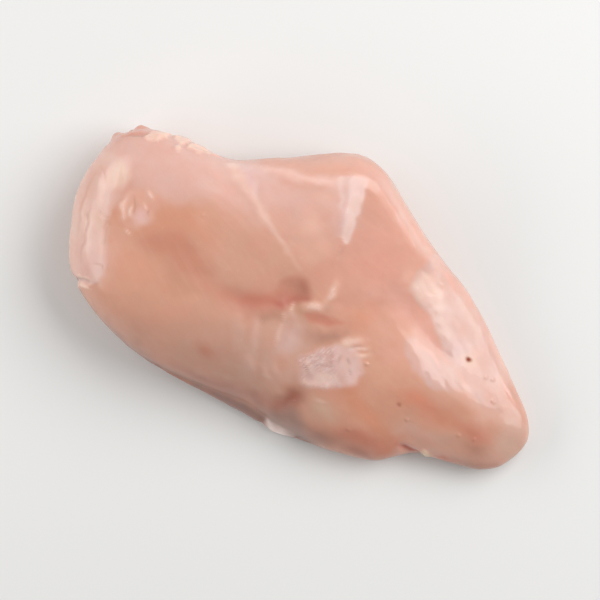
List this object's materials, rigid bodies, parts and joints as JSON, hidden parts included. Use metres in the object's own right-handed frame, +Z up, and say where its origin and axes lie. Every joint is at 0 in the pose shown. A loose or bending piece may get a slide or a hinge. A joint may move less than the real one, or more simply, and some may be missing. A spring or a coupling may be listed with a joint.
{
  "type": "raw chicken breast",
  "caption": "Raw boneless, skinless chicken breast fillet lying on its flat side: thick rounded wing end, thin tapered tail, moist surface.",
  "frame": {"origin": "on the surface the fillet lies on, under the middle of its bounding box", "axes": "+X along the fillet from the thick wing end to the thin tail tip, +Y towards the steep keel side, +Z up through the smooth skin side"},
  "size_m": [0.1605, 0.0918, 0.0314],
  "materials": {
    "raw_chicken": "moist raw poultry flesh, pale pink to tan, satin with wet highlights and patches of whitish membrane"
  },
  "bodies": {
    "root": {"chicken_breast": "raw_chicken"}
  },
  "joints": []
}
